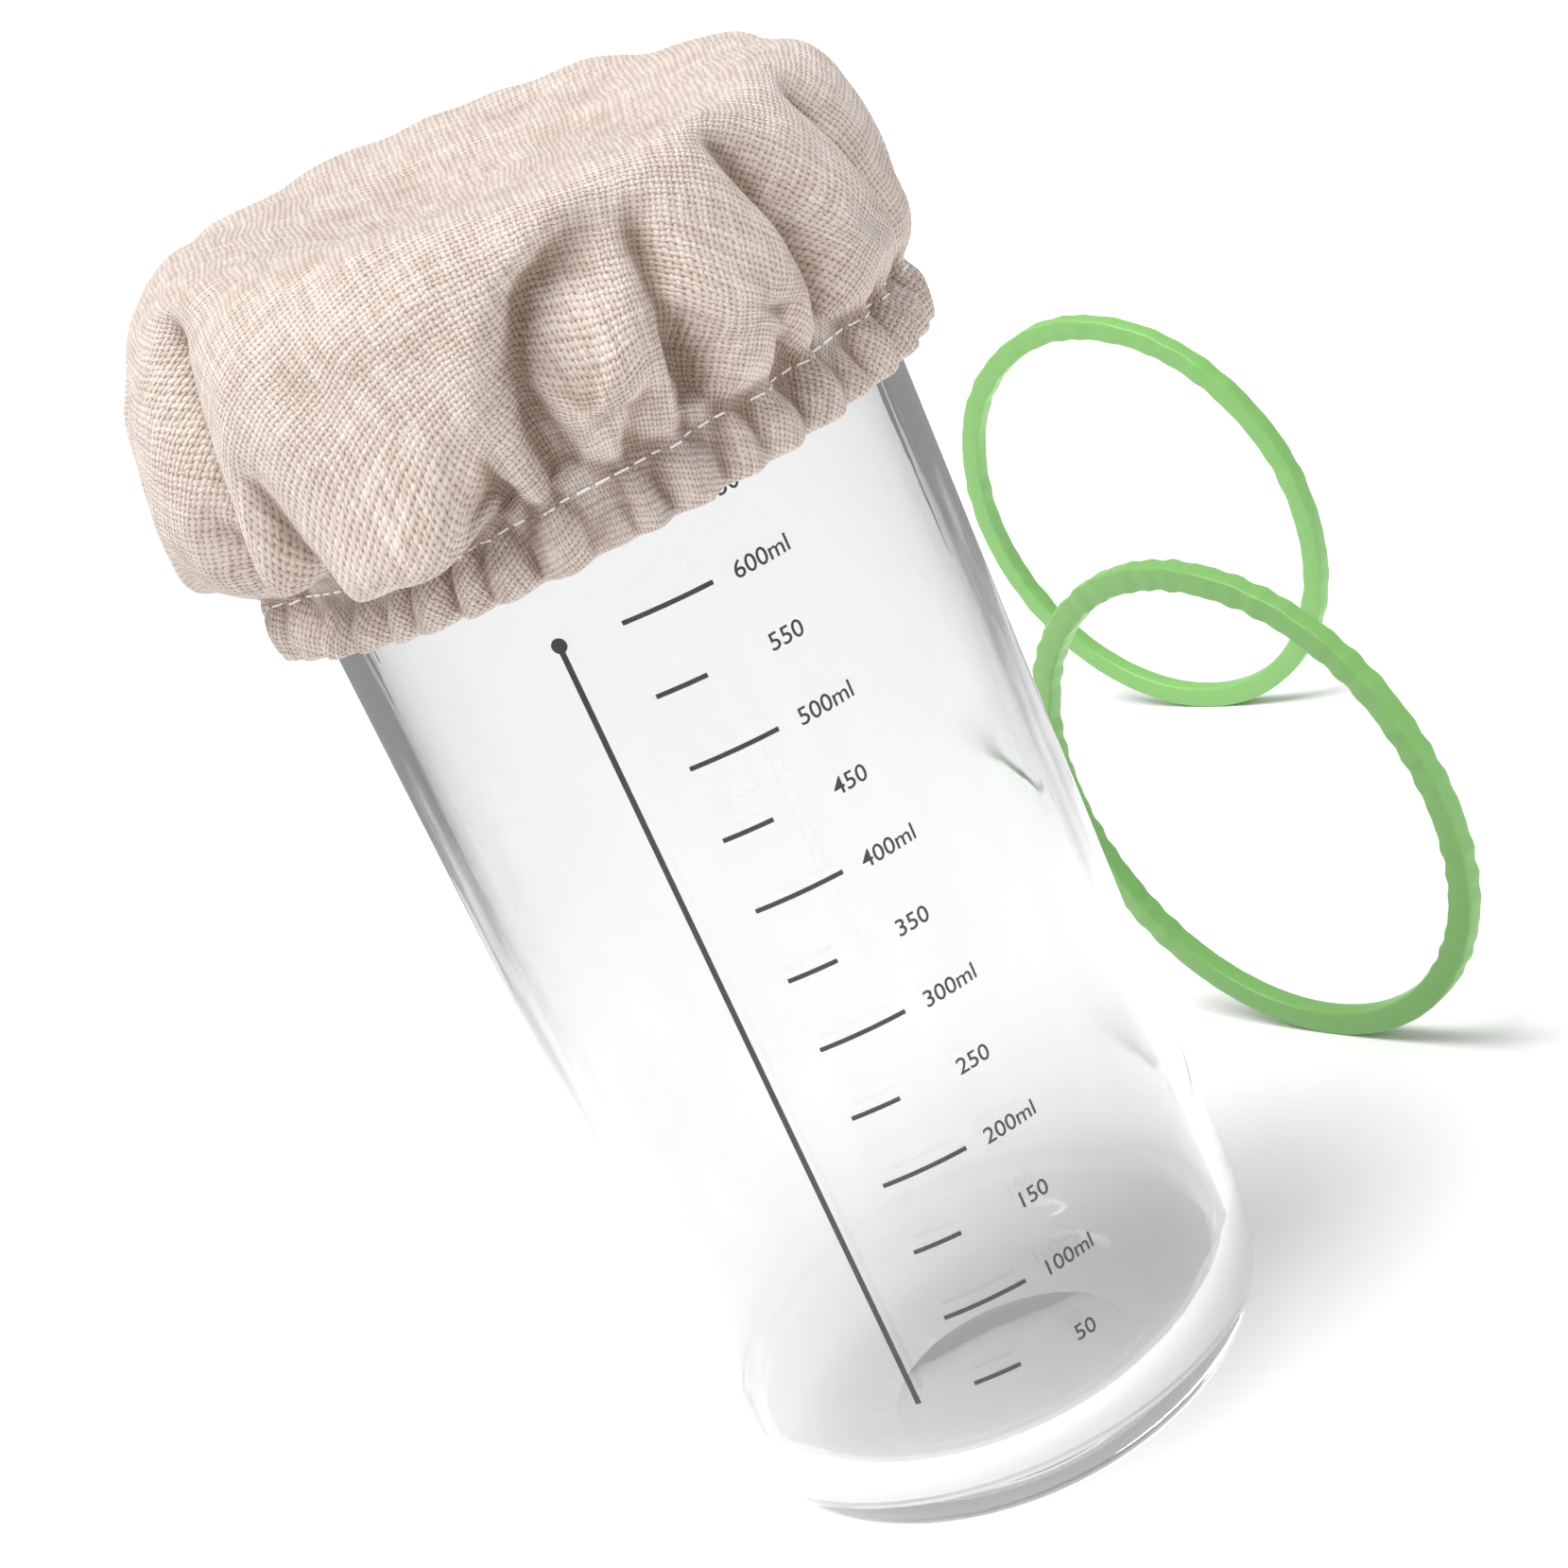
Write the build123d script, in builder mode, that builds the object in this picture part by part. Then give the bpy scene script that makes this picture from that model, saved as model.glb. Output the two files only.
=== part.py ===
from build123d import *
from math import cos, pi, radians, sin, tan
import os

# Sourdough starter jar: a clear glass jar, a gathered cloth cap with an elastic hem, and two
# silicone bands that mark the level of the dough. All lengths are millimetres.
# The origin is the centre of the jar's standing ring, +Z is up, and the printed scale faces -Y.

# Glass jar
jar_height = 193.0
jar_top_radius = 42.65      # outside, at the lip
jar_draft = 0.52            # degrees, the wall narrows towards the base
jar_wall = 3.0
jar_floor = 9.0             # thickness of the heavy base
heel_radius = 18.0          # outer rounding between base and wall
inner_heel_radius = 14.0
standing_ring = 4.5         # width of the flat ring that the jar stands on
push_up_depth = 1.6         # shallow dome inside the ring
lip_thickness = 3.8         # the fire-finished lip is a little thicker than the wall
lip_height = 7.0            # how far down inside the lip thins to the wall

# Cloth cap
cloth = 0.8                 # thickness of the cloth, doubled and turned in at the hem
cap_skirt = 41.6            # from the middle of the hem's lower edge up to the crown's lowest edge
cap_over_lip = 1.5          # gap between the lip and the crown where the crown is lowest
cap_bulge = 6.0             # how far the loose skirt reaches out past the hem's gathers
cap_lean = 2.6              # how far the loose skirt hangs out to -X
crown_tilt = 4.4            # degrees, the crown stands higher at -X
crown_inset = 0.65          # from the jar's outside in to the crown's edge
gather_count = 28
gather_depth = 1.7          # crest to crease at the deepest gathers
fold_count = 5              # broad soft folds round the skirt
fold_depth = 1.3
gather_drift = 0.28         # unevenness of the gathers, in gathers
drift_waves = 5             # times that the unevenness repeats round the hem

# Hem and its elastic
hem_clearance = 0.45        # between the hem's bore and the jar's lip
hem_height = 7.0            # height of the casing
elastic_width = 4.8
elastic_thickness = 0.7
elastic_clearance = 0.25    # round the elastic in its casing
hem_slit = 0.4              # gap at the turned-in edge of the casing
hem_tilt = 5.8              # degrees, the hem sits askew round the jar
hem_bearing = -53.7         # degrees from +X towards +Y of the hem's highest point

# Silicone bands, standing on edge behind the jar at +X
band_radius = 44.0          # outside
band_depth = 4.2            # radial size of the section
band_width = 3.3            # size of the section along the band's axis
band_corner = 0.5           # chamfer on the section's four edges
lower_band_gap = 9.0        # from the jar's wall to the band, along the line of their centres
lower_band_bearing = 41.2   # degrees from +X towards +Y, seen from above
lower_band_turn = 57.0      # degrees that the band's face is turned away from -Y towards -X
upper_band_gap = 146.5
upper_band_bearing = 66.1   # degrees
upper_band_turn = 53.0      # degrees

overrun = 2.0               # how far every cut runs past what it cuts

# Values that follow from the ones above
draft = radians(jar_draft)
jar_base_radius = jar_top_radius - jar_height * tan(draft)   # where the wall would meet the table
heel_run_share = (1 - sin(draft)) / cos(draft)
standing_radius = jar_base_radius - heel_radius * heel_run_share
push_up_radius = standing_radius - standing_ring
inner_base_radius = jar_base_radius - jar_wall + jar_floor * tan(draft)
floor_radius = inner_base_radius - inner_heel_radius * heel_run_share
lip_radius = lip_thickness / 2

crown_edge_low = jar_height + cap_over_lip + cloth
hem_bottom = crown_edge_low - cap_skirt
hem_bore = jar_top_radius + hem_clearance
casing_inner = hem_bore + cloth
casing_outer = casing_inner + elastic_thickness + 2 * elastic_clearance
casing_height = elastic_width + 2 * elastic_clearance
crown_radius = jar_top_radius - crown_inset
crown_edge_rise = hem_bore * sin(radians(crown_tilt))   # crown's middle above its lowest edge
crown_height = crown_edge_low + crown_edge_rise
hem_radius = casing_outer + cloth + gather_depth
hem_rise = hem_radius * sin(radians(hem_tilt))
casing_middle = hem_bottom + cloth + casing_height / 2

# Levels of the skirt from the hem up: height as a share of the skirt, radius as a share of the way
# from the hem to the bulge, depth of the gathers, of the broad folds, lean, and how far the level
# follows the hem's tilt and the crown's, as shares of their full values.
skirt_shares = [
    (0.00, -0.10, 0.55, 0.00, 0.00, 1.00, 0.00),
    (0.07, 0.05, 0.80, 0.00, 0.00, 1.00, 0.00),
    (0.17, 0.02, 0.90, 0.00, 0.10, 1.00, 0.00),
    (0.30, 0.45, 1.00, 0.50, 0.50, 0.80, 0.05),
    (0.45, 0.85, 0.80, 0.90, 0.90, 0.55, 0.15),
    (0.62, 1.00, 0.50, 1.00, 1.00, 0.30, 0.35),
    (0.75, 0.93, 0.30, 0.90, 0.90, 0.15, 0.55),
    (0.86, 0.64, 0.20, 0.60, 0.65, 0.05, 0.75),
    (0.94, 0.20, 0.10, 0.35, 0.40, 0.00, 0.90),
    (0.98, -0.25, 0.05, 0.15, 0.20, 0.00, 1.00),
]


def glass_outline():
    """Half section of the jar, from the axis under the base round to the axis above the floor."""
    push_up = TangentArc((0, push_up_depth), (push_up_radius, 0), tangent=(1, 0))
    standing = Line(push_up @ 1, (standing_radius, 0))
    heel = JernArc(standing @ 1, (1, 0), heel_radius, 90 - jar_draft)
    outside = Line(heel @ 1, (jar_top_radius, jar_height - lip_radius))
    lip = ThreePointArc(
        outside @ 1,
        (jar_top_radius - lip_radius, jar_height),
        (jar_top_radius - lip_thickness, jar_height - lip_radius),
    )
    floor = Line((0, jar_floor), (floor_radius, jar_floor))
    inner_heel = JernArc(floor @ 1, (1, 0), inner_heel_radius, 90 - jar_draft)
    thinning = jar_height - lip_height
    wall_top = (jar_base_radius - jar_wall + thinning * tan(draft), thinning)
    Line(inner_heel @ 1, wall_top)
    Line(wall_top, lip @ 1)
    Line((0, push_up_depth), (0, jar_floor))


with BuildPart() as glass_jar:
    with BuildSketch(Plane.XZ):
        with BuildLine():
            glass_outline()
        make_face()
    revolve(axis=Axis.Z)
glass_jar.part.label = "glass_jar"


def crease_angle(index):
    """Angle of a gather's crease, drifting so that the gathers aren't all one width."""
    turn = 2 * pi / gather_count
    return turn * (index + gather_drift * sin(drift_waves * turn * index))


def skirt_plane(height, lean=0.0, askew=0.0, tilt=0.0):
    """Plane of one level, hung out to -X, following the hem's tilt and the crown's, raised at -X."""
    hem_slope = tan(radians(hem_tilt * askew))
    slope_x = hem_slope * cos(radians(hem_bearing)) - tan(radians(crown_tilt * tilt))
    slope_y = hem_slope * sin(radians(hem_bearing))
    return Plane(
        origin=(-cap_lean * lean, 0, height),
        x_dir=(1, 0, slope_x),
        z_dir=(-slope_x, -slope_y, 1),
    )


def gathered_ring(radius, depth, swell):
    """Closed outline of crests between creases, with a few broad folds round it."""
    def reach(angle, inset):
        out = radius - inset + swell * sin(fold_count * angle)
        return (out * cos(angle), out * sin(angle))

    for index in range(gather_count):
        start = crease_angle(index)
        end = crease_angle(index + 1) if index < gather_count - 1 else crease_angle(0) + 2 * pi
        ThreePointArc(reach(start, depth), reach((start + end) / 2, 0), reach(end, depth))


def skirt_levels():
    """Height, radius, gather depth, fold depth, lean and the two tilts of each level."""
    for height, out, gathers, folds, lean, askew, tilt in skirt_shares:
        yield (
            hem_bottom + cap_skirt * height + crown_edge_rise * tilt,
            hem_radius + cap_bulge * out,
            gather_depth * gathers,
            fold_depth * folds,
            lean,
            askew,
            tilt,
        )


upper_levels = [level for level in skirt_levels() if level[0] > hem_bottom + hem_height]
casing_plane = skirt_plane(casing_middle, askew=1)
casing_axis = Axis(casing_plane.origin, casing_plane.z_dir)
casing_section = Plane(casing_plane.origin, x_dir=casing_plane.x_dir, z_dir=-casing_plane.y_dir)

with BuildPart() as cloth_cover:
    for height, radius, depth, swell, lean, askew, tilt in skirt_levels():
        with BuildSketch(skirt_plane(height, lean, askew, tilt)):
            with BuildLine():
                gathered_ring(radius, depth, swell)
            make_face()
    with BuildSketch(skirt_plane(crown_height, tilt=1)):
        with BuildLine():
            gathered_ring(crown_radius, 0, 0)
        make_face()
    loft(ruled=True)
    # Room for the jar: a straight bore, then the inside of the loose cloth above the hem.
    with BuildSketch(Plane.XY.offset(hem_bottom - hem_rise - overrun)):
        Circle(hem_bore)
    extrude(amount=jar_height - hem_bottom + hem_rise + overrun, mode=Mode.SUBTRACT)
    with BuildSketch(skirt_plane(hem_bottom + hem_height, askew=1)):
        Circle(hem_bore)
    for height, radius, depth, swell, lean, askew, tilt in upper_levels:
        with BuildSketch(skirt_plane(height - cloth * tilt, lean, askew, tilt)):
            Circle(radius - depth - swell - cloth)
    with BuildSketch(skirt_plane(crown_height - cloth, tilt=1)):
        Circle(crown_radius - cloth)
    loft(ruled=True, mode=Mode.SUBTRACT)
    # The casing for the elastic, with the slit where the cloth's edge is turned in.
    with BuildSketch(casing_section):
        with Locations((casing_inner, 0)):
            Rectangle(casing_outer - casing_inner, casing_height, align=(Align.MIN, Align.CENTER))
        with Locations((hem_bore - overrun, casing_height / 2)):
            Rectangle(casing_outer - hem_bore + overrun, hem_slit, align=(Align.MIN, Align.MAX))
    revolve(axis=casing_axis, mode=Mode.SUBTRACT)
cloth_cover.part.label = "cloth_cover"

with BuildPart() as hem_elastic:
    with BuildSketch(casing_section):
        with Locations((casing_inner + elastic_clearance, 0)):
            Rectangle(elastic_thickness, elastic_width, align=(Align.MIN, Align.CENTER))
    revolve(axis=casing_axis)
hem_elastic.part.label = "hem_elastic"


def make_band(name, gap, bearing, turn):
    """A silicone band standing on edge, its centre one gap and its own radius out from the jar."""
    out = jar_top_radius + gap + band_radius
    centre = (out * cos(radians(bearing)), out * sin(radians(bearing)), band_radius)
    face = (-sin(radians(turn)), -cos(radians(turn)), 0)
    section = Plane(origin=centre, x_dir=face, z_dir=Vector(face).cross(Vector(0, 0, 1)))
    with BuildPart() as band:
        with BuildSketch(section) as outline:
            with Locations((0, band_radius - band_depth / 2)):
                Rectangle(band_width, band_depth)
            chamfer(outline.vertices(), band_corner)
        revolve(axis=Axis(centre, face))
    band.part.label = name
    return band


lower_band = make_band("lower_band", lower_band_gap, lower_band_bearing, lower_band_turn)
upper_band = make_band("upper_band", upper_band_gap, upper_band_bearing, upper_band_turn)

os.makedirs("parts", exist_ok=True)
for piece in (glass_jar, cloth_cover, hem_elastic, lower_band, upper_band):
    export_step(piece.part, f"parts/{piece.part.label}.step")
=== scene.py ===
import math
import random
from bisect import bisect_right
from collections import namedtuple

import bpy
import numpy as np
from mathutils import Matrix, Vector, noise


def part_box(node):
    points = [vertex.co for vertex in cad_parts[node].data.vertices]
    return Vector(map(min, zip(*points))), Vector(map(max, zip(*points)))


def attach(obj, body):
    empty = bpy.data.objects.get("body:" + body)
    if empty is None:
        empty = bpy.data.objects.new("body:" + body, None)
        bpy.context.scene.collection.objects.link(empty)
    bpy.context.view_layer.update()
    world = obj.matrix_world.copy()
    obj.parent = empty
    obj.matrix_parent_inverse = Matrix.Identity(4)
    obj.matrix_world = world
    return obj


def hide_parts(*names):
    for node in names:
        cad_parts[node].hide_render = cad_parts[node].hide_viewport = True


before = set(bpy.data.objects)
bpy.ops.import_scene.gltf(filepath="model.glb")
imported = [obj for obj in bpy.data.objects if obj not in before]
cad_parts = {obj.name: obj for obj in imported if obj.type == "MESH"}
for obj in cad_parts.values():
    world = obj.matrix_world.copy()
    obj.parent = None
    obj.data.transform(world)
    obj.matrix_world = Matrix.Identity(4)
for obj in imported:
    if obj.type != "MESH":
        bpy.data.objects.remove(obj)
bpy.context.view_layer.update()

# Sourdough starter jar: a clear glass jar with a printed volume scale, a gathered cloth cap with an
# elastic in its hem, and two silicone bands. Lengths are metres. Angles round the jar are degrees
# from -Y, where the printed scale is, towards +X.
MM = 0.001

scene = bpy.context.scene
scene.view_settings.view_transform = "Standard"

_, jar_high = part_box("glass_jar")
elastic_low, elastic_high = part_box("hem_elastic")
jar_radius = jar_high.x
lip_height = jar_high.z
hem_middle = (elastic_low.z + elastic_high.z) / 2


def around(angle, radius, height):
    """Point at an angle round the jar's axis."""
    turn = math.radians(angle)
    return Vector((radius * math.sin(turn), -radius * math.cos(turn), height))


def smooth(share):
    """Eased step from 0 to 1."""
    share = min(1.0, max(0.0, share))
    return share * share * (3 - 2 * share)


def add_mesh(name, points, faces, shade_smooth=True):
    """Mesh object made of points and faces, added to the scene."""
    mesh = bpy.data.meshes.new(name)
    mesh.from_pydata([tuple(point) for point in points], [], faces)
    mesh.update()
    if shade_smooth:
        mesh.shade_smooth()
    piece = bpy.data.objects.new(name, mesh)
    scene.collection.objects.link(piece)
    return piece


def finished_mesh(piece):
    """Plain mesh of a piece as its modifiers, or its letters, make it."""
    bpy.context.view_layer.update()
    finished = piece.evaluated_get(bpy.context.evaluated_depsgraph_get())
    return bpy.data.meshes.new_from_object(finished)


def apply_modifiers(piece):
    """Turns a piece with its modifiers into a plain mesh."""
    result = finished_mesh(piece)
    piece.modifiers.clear()
    piece.data = result
    result.name = piece.name


class Nodes:
    """A node tree with short calls to add nodes and join them."""

    def __init__(self, tree):
        self.tree = tree

    def add(self, kind, **settings):
        node = self.tree.nodes.new(kind)
        for name, value in settings.items():
            setattr(node, name, value)
        return node

    def link(self, source, socket):
        self.tree.links.new(source, socket)

    def feed(self, socket, value):
        """A socket gets a link, or a plain value."""
        if isinstance(value, bpy.types.NodeSocket):
            self.link(value, socket)
        else:
            socket.default_value = value

    def fill(self, node, **values):
        """A node's inputs, by name, with underscores for the spaces in it. Returns its outputs."""
        for name, value in values.items():
            self.feed(node.inputs[name.replace("_", " ")], value)
        return node.outputs

    def place(self):
        """Place on the piece, in its own coordinates."""
        return self.add("ShaderNodeTexCoord").outputs["Object"]

    def height(self, place):
        """Last coordinate of a place."""
        return self.fill(self.add("ShaderNodeSeparateXYZ"), Vector=place)["Z"]

    def attribute(self, name):
        """Number kept at the points of a mesh."""
        return self.add("ShaderNodeAttribute", attribute_name=name).outputs["Fac"]

    def math(self, operation, first, second=0.0):
        node = self.add("ShaderNodeMath", operation=operation)
        for socket, value in zip(node.inputs, (first, second)):
            self.feed(socket, value)
        return node.outputs[0]

    def mix(self, factor, first, second, blend="MIX"):
        """Blend of two colours. This node's inputs 6 and 7, and its output 2, are its colours."""
        node = self.add("ShaderNodeMix", data_type="RGBA", blend_type=blend)
        self.feed(node.inputs["Factor"], factor)
        self.feed(node.inputs[6], first)
        self.feed(node.inputs[7], second)
        return node.outputs[2]

    def noise(self, vector, scale, detail=2.0):
        node = self.add("ShaderNodeTexNoise")
        return self.fill(node, Vector=vector, Scale=scale, Detail=detail)["Fac"]

    def span(self, value, low, high, to_low=0.0, to_high=1.0):
        """Value's range from low to high is spread from to_low to to_high."""
        node = self.add("ShaderNodeMapRange")
        for socket, number in zip(node.inputs, (value, low, high, to_low, to_high)):
            self.feed(socket, number)
        return node.outputs[0]

    def stretch(self, vector, scale):
        """A place, scaled by its own share along each axis."""
        return self.fill(self.add("ShaderNodeMapping"), Vector=vector, Scale=scale)[0]

    def bump(self, height, strength, distance):
        node = self.add("ShaderNodeBump")
        return self.fill(node, Strength=strength, Distance=distance, Height=height)[0]


def new_material(name):
    """Material with one Principled shader, its nodes, and that shader."""
    material = bpy.data.materials.new(name)
    material.use_nodes = True
    nodes = Nodes(material.node_tree)
    shader = material.node_tree.nodes["Principled BSDF"]
    return material, nodes, shader


def new_group(name, inputs, outputs):
    """Shader node group with named inputs, as (name, kind, value), and outputs, as (name, kind)."""
    tree = bpy.data.node_groups.new(name, "ShaderNodeTree")
    for label, kind, value in inputs:
        socket = tree.interface.new_socket(label, in_out="INPUT", socket_type=kind)
        if value is not None:
            socket.default_value = value
    for label, kind in outputs:
        tree.interface.new_socket(label, in_out="OUTPUT", socket_type=kind)
    nodes = Nodes(tree)
    return tree, nodes, nodes.add("NodeGroupInput").outputs, nodes.add("NodeGroupOutput").inputs


# Cloth as woven. Sizes and numbers of threads belong to the cut cloth, laid flat.
cut_map_size = 0.22            # side of the square that the cloth's UV map covers
thread_pitch = 0.8 * MM
weave_unevenness = 0.2
weave_depth = 0.3 * MM
thread_colours = (0.59, 0.485, 0.42, 1), (0.71, 0.62, 0.56, 1)
patch_colour = (0.66, 0.57, 0.52, 1)
patches_across = 7.0           # pale patches, along one side of the UV map
patch_strength = 0.3
fleck_colour = (0.50, 0.19, 0.15, 1)
flecks_across = (230.0, 110.0, 1.0)
fleck_strength = 0.5
# Painted shade in the hollows between the threads.
gap_shade_colour = (0.22, 0.15, 0.115, 1)
# Painted shade: colour multiplied into the cloth in its deep folds, and how strongly.
fold_shade_colour = (0.50, 0.40, 0.34, 1)
fold_shade_strength = 0.85


def weave_group():
    """Plain weave: threads over and under each other, unevenly spun, with small gaps between."""
    number = "NodeSocketFloat"
    tree, nodes, given, out = new_group(
        "plain_weave",
        [
            ("Place", "NodeSocketVector", None),
            ("Threads", number, 100.0),
            ("Unevenness", number, 0.3),
        ],
        [("Height", number), ("Gap", number), ("Thread Tone", number)],
    )
    scaled = nodes.add("ShaderNodeVectorMath", operation="SCALE")
    place = nodes.fill(scaled, Vector=given["Place"], Scale=given["Threads"])[0]
    parts = nodes.fill(nodes.add("ShaderNodeSeparateXYZ"), Vector=place)
    jostle = nodes.math("SUBTRACT", nodes.noise(place, 0.35), 0.5)
    shift = nodes.math("MULTIPLY", jostle, nodes.math("MULTIPLY", given["Unevenness"], 5.0))
    sides = (
        (nodes.math("ADD", parts["X"], shift), (0.9, 0.10, 1.0)),
        (nodes.math("SUBTRACT", parts["Y"], shift), (0.10, 0.9, 1.0)),
    )
    waves, rounds, spins = [], [], []
    for across, drawn_out in sides:
        spin = nodes.noise(nodes.stretch(place, drawn_out), 1.0, 1.0)
        wave = nodes.math("SINE", nodes.math("MULTIPLY", across, math.pi))
        thickness = nodes.span(spin, 0.3, 0.7, 0.9, 0.35)
        rounds.append(nodes.math("POWER", nodes.math("ABSOLUTE", wave), thickness))
        waves.append(wave)
        spins.append(nodes.math("MULTIPLY", spin, 0.5))
    crossing = nodes.math("MULTIPLY", *waves)
    warp = nodes.math("MULTIPLY", rounds[0], nodes.span(crossing, -0.9, 0.9, 0.30, 1.0))
    weft = nodes.math("MULTIPLY", rounds[1], nodes.span(crossing, -0.9, 0.9, 1.0, 0.30))
    height = nodes.math("MAXIMUM", warp, weft)
    nodes.link(height, out["Height"])
    # Mask of the hollows between the threads, which the linen darkens with painted shade.
    nodes.link(nodes.span(height, 0.62, 0.18), out["Gap"])
    nodes.link(nodes.span(nodes.math("ADD", *spins), 0.40, 0.60), out["Thread Tone"])
    return tree


plain_weave = weave_group()


def linen_material():
    """Undyed coarse linen, woven over the cut cloth's own UV map, with painted shade in its folds
    and between its threads.
    """
    material, nodes, shader = new_material("natural_linen")
    place = nodes.add("ShaderNodeUVMap", uv_map="cut_cloth").outputs[0]
    weave = nodes.fill(
        nodes.add("ShaderNodeGroup", node_tree=plain_weave),
        Place=place,
        Threads=cut_map_size / thread_pitch,
        Unevenness=weave_unevenness,
    )
    colour = nodes.mix(weave["Thread Tone"], *thread_colours)
    patches = nodes.noise(place, patches_across, 3.0)
    colour = nodes.mix(nodes.span(patches, 0.35, 0.7, 0.0, patch_strength), colour, patch_colour)
    flecks = nodes.noise(nodes.stretch(place, flecks_across), 1.0, 1.0)
    colour = nodes.mix(nodes.span(flecks, 0.76, 0.79, 0.0, fleck_strength), colour, fleck_colour)
    # Painted shade in the gaps between the threads.
    colour = nodes.mix(weave["Gap"], colour, gap_shade_colour)
    # Painted shade in the cloth's deep folds.
    fold_shade = nodes.math("MULTIPLY", nodes.attribute("fold_shade"), fold_shade_strength)
    nodes.fill(
        shader,
        Base_Color=nodes.mix(fold_shade, colour, fold_shade_colour, "MULTIPLY"),
        Roughness=0.92,
        Sheen_Weight=0.2,
        Sheen_Roughness=0.5,
        Normal=nodes.bump(weave["Height"], 1.0, weave_depth),
    )
    return material


def glass_material():
    """Clear pressed glass, faintly wavy. Lamps shine through it, and light that it has thrown back
    inside its wall once goes straight out, so that the heavy base doesn't swallow it. Its colour is
    a light grey, because the studio is bright enough to burn out the floor."""
    material, nodes, shader = new_material("clear_glass")
    waves = nodes.noise(nodes.stretch(nodes.place(), (1.0, 1.0, 0.3)), 60.0, 3.0)
    surface = nodes.fill(
        shader,
        Base_Color=(0.79, 0.795, 0.795, 1),
        Roughness=0.0,
        IOR=1.5,
        Transmission_Weight=1.0,
        Normal=nodes.bump(waves, 0.12, 0.6 * MM),
    )[0]
    rays = nodes.add("ShaderNodeLightPath").outputs
    for kind, tint in (("Is Reflection Ray", 0.93), ("Is Shadow Ray", 0.96)):
        clear = nodes.fill(nodes.add("ShaderNodeBsdfTransparent"), Color=(tint, tint, tint, 1))[0]
        blend = nodes.add("ShaderNodeMixShader")
        for socket, source in zip(blend.inputs, (rays[kind], surface, clear)):
            nodes.link(source, socket)
        surface = blend.outputs[0]
    nodes.link(surface, material.node_tree.nodes["Material Output"].inputs["Surface"])
    return material


def silicone_material():
    """Matt green silicone, mottled, a little translucent, with a yellower bloom all over it."""
    material, nodes, shader = new_material("green_silicone")
    place = nodes.place()
    body = nodes.mix(nodes.noise(place, 900.0, 3.0), (0.085, 0.36, 0.085, 1), (0.12, 0.43, 0.12, 1))
    nodes.fill(
        shader,
        Base_Color=nodes.mix(0.55, body, (0.28, 0.48, 0.14, 1)),
        Roughness=0.42,
        Subsurface_Weight=0.25,
        Subsurface_Radius=(0.6, 1.0, 0.4),
        Subsurface_Scale=1.2 * MM,
        Normal=nodes.bump(nodes.noise(place, 2600.0), 0.25, 0.1 * MM),
    )
    return material


def grained_material(name, grain, colours, roughness, bump, relief=None):
    """Matt material of two colours mixed by a fine noise, which is its relief too, unless another
    is given. The grain is the noise's scale and detail, the bump its strength and height."""
    material, nodes, shader = new_material(name)
    mottle = nodes.noise(nodes.place(), *grain)
    normal = nodes.bump(relief(nodes) if relief else mottle, *bump)
    nodes.fill(shader, Base_Color=nodes.mix(mottle, *colours), Roughness=roughness, Normal=normal)
    return material


def elastic_ribs(nodes):
    """Fine ribs round the jar."""
    ribs = nodes.add("ShaderNodeTexWave", bands_direction="Z")
    return nodes.fill(ribs, Scale=420.0, Vector=nodes.place())["Fac"]


def elastic_material():
    """Flat woven elastic, ribbed round the jar."""
    return grained_material(
        "elastic",
        grain=(1800.0, 2.0),
        colours=((0.78, 0.75, 0.69, 1), (0.90, 0.88, 0.84, 1)),
        roughness=0.8,
        bump=(0.5, 0.1 * MM),
        relief=elastic_ribs,
    )


def thread_material():
    """White, slightly fuzzy sewing thread."""
    return grained_material(
        "sewing_thread",
        grain=(5000.0, 2.0),
        colours=((0.80, 0.78, 0.75, 1), (0.95, 0.94, 0.92, 1)),
        roughness=0.6,
        bump=(0.4, 0.05 * MM),
    )


def ink_material():
    """Dark grey fired ink, slightly thin in places."""
    return grained_material(
        "scale_ink",
        grain=(1500.0, 3.0),
        colours=((0.035, 0.035, 0.038, 1), (0.085, 0.085, 0.09, 1)),
        roughness=0.55,
        bump=(0.15, 0.02 * MM),
    )


# Cloth cap. The cloth is cut as a circle, its edge is turned in as a casing, and the elastic
# gathers it. The cut circle sits off the jar's axis, so more of it hangs at -X.
cut_radius = 95.0 * MM         # to the hem's lower edge
cut_offset = 6.0 * MM
hem_depth = 8.6 * MM           # from the hem's lower edge up to the stitches
cloth_rings = 60
hem_tilt = 5.8                 # degrees, the hem sits askew
hem_high_side = 36.3           # angle of the hem's highest point
hem_below_elastic = 3.45 * MM  # from the elastic's middle down to the hem's lower edge
hem_reach = 1.075              # the hem's radius, as a share of the jar's
valley_radius = 45.0 * MM      # the gathers' valleys lie on the elastic
valley_rise = 4.0 * MM         # and do so this far up past the stitches
lining_radius = 43.35 * MM     # the turned-in cloth lies between the glass and the elastic
lining_ripple = 0.12 * MM
lining_ripples = 40            # round the jar
centring_way = 30.0 * MM       # past the stitches, over which its middle shifts to the jar's axis
groove_depth = 1.4 * MM        # where the stitches draw the cloth in
groove_width = 2.0 * MM
edge_deepness = 0.75           # share of their depth that creases have at the hem's very edge
edge_width = 5.0 * MM          # way up over which they gain the rest

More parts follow.
